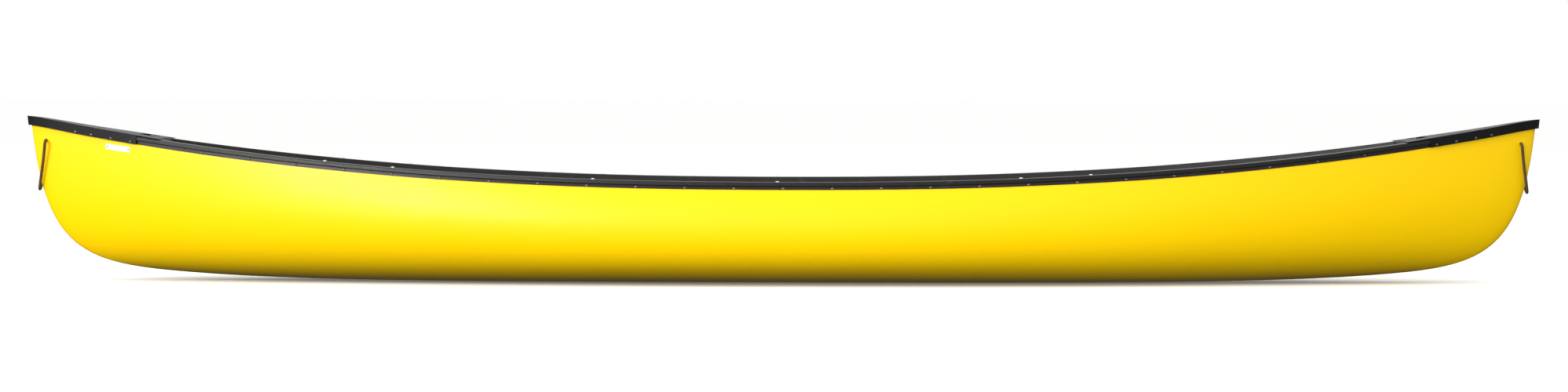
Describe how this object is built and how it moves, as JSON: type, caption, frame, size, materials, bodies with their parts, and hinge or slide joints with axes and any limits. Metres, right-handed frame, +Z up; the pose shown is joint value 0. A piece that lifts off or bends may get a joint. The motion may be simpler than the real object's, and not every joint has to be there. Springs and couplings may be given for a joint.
{
  "type": "canoe",
  "caption": "Open two-seat touring canoe with moulded hull, metal gunwales, plastic deck plates, webbed seats, carrying yoke, thwart and swinging cord grab loops.",
  "frame": {"origin": "on the centre plane, midway between the ends, on the ground line of the keel", "axes": "+X to the bow, +Y to port, +Z up"},
  "size_m": [5.105, 0.913, 0.5522],
  "materials": {
    "hull_skin": "gloss yellow outside, light grey inside",
    "gunwale_alloy": "black anodised",
    "rivet_alloy": "dark anodised",
    "deck_plastic": "fine moulded texture",
    "ash": "oiled",
    "seat_webbing": "plain weave polyester webbing",
    "stainless": "satin",
    "cord": "braided",
    "plate": "satin, blank"
  },
  "bodies": {
    "canoe": {"hull": "hull_skin", "port_gunwale": "gunwale_alloy", "starboard_gunwale": "gunwale_alloy", "port_gunwale_rivets": "rivet_alloy", "starboard_gunwale_rivets": "rivet_alloy", "bow_deck": "deck_plastic", "stern_deck": "deck_plastic", "bow_deck_rivets": "rivet_alloy", "stern_deck_rivets": "rivet_alloy", "centre_yoke": "ash", "stern_thwart": "ash", "bow_seat_front_rail": "ash", "bow_seat_rear_rail": "ash", "bow_seat_stiles": "ash", "bow_seat_webbing": "seat_webbing", "bow_seat_spacers": "ash", "bow_seat_bolts": "stainless", "stern_seat_front_rail": "ash", "stern_seat_rear_rail": "ash", "stern_seat_stiles": "ash", "stern_seat_webbing": "seat_webbing", "stern_seat_spacers": "ash", "stern_seat_bolts": "stainless", "crossbar_bolts": "stainless", "washers": "stainless", "nuts": "stainless", "capacity_plate": "plate", "plate_rivets": "stainless"},
    "bow_loop": {"bow_grab_loop": "cord", "bow_loop_knot": "cord"},
    "stern_loop": {"stern_grab_loop": "cord", "stern_loop_knot": "cord"}
  },
  "joints": [
    {"name": "bow_loop_swing", "type": "hinge", "parent": "canoe", "child": "bow_loop", "pos_m": [2.484, 0, 0.47], "axis": [0, -1, 0], "range_deg": [0, 110]},
    {"name": "stern_loop_swing", "type": "hinge", "parent": "canoe", "child": "stern_loop", "pos_m": [-2.484, 0, 0.47], "axis": [0, 1, 0], "range_deg": [0, 110]}
  ]
}
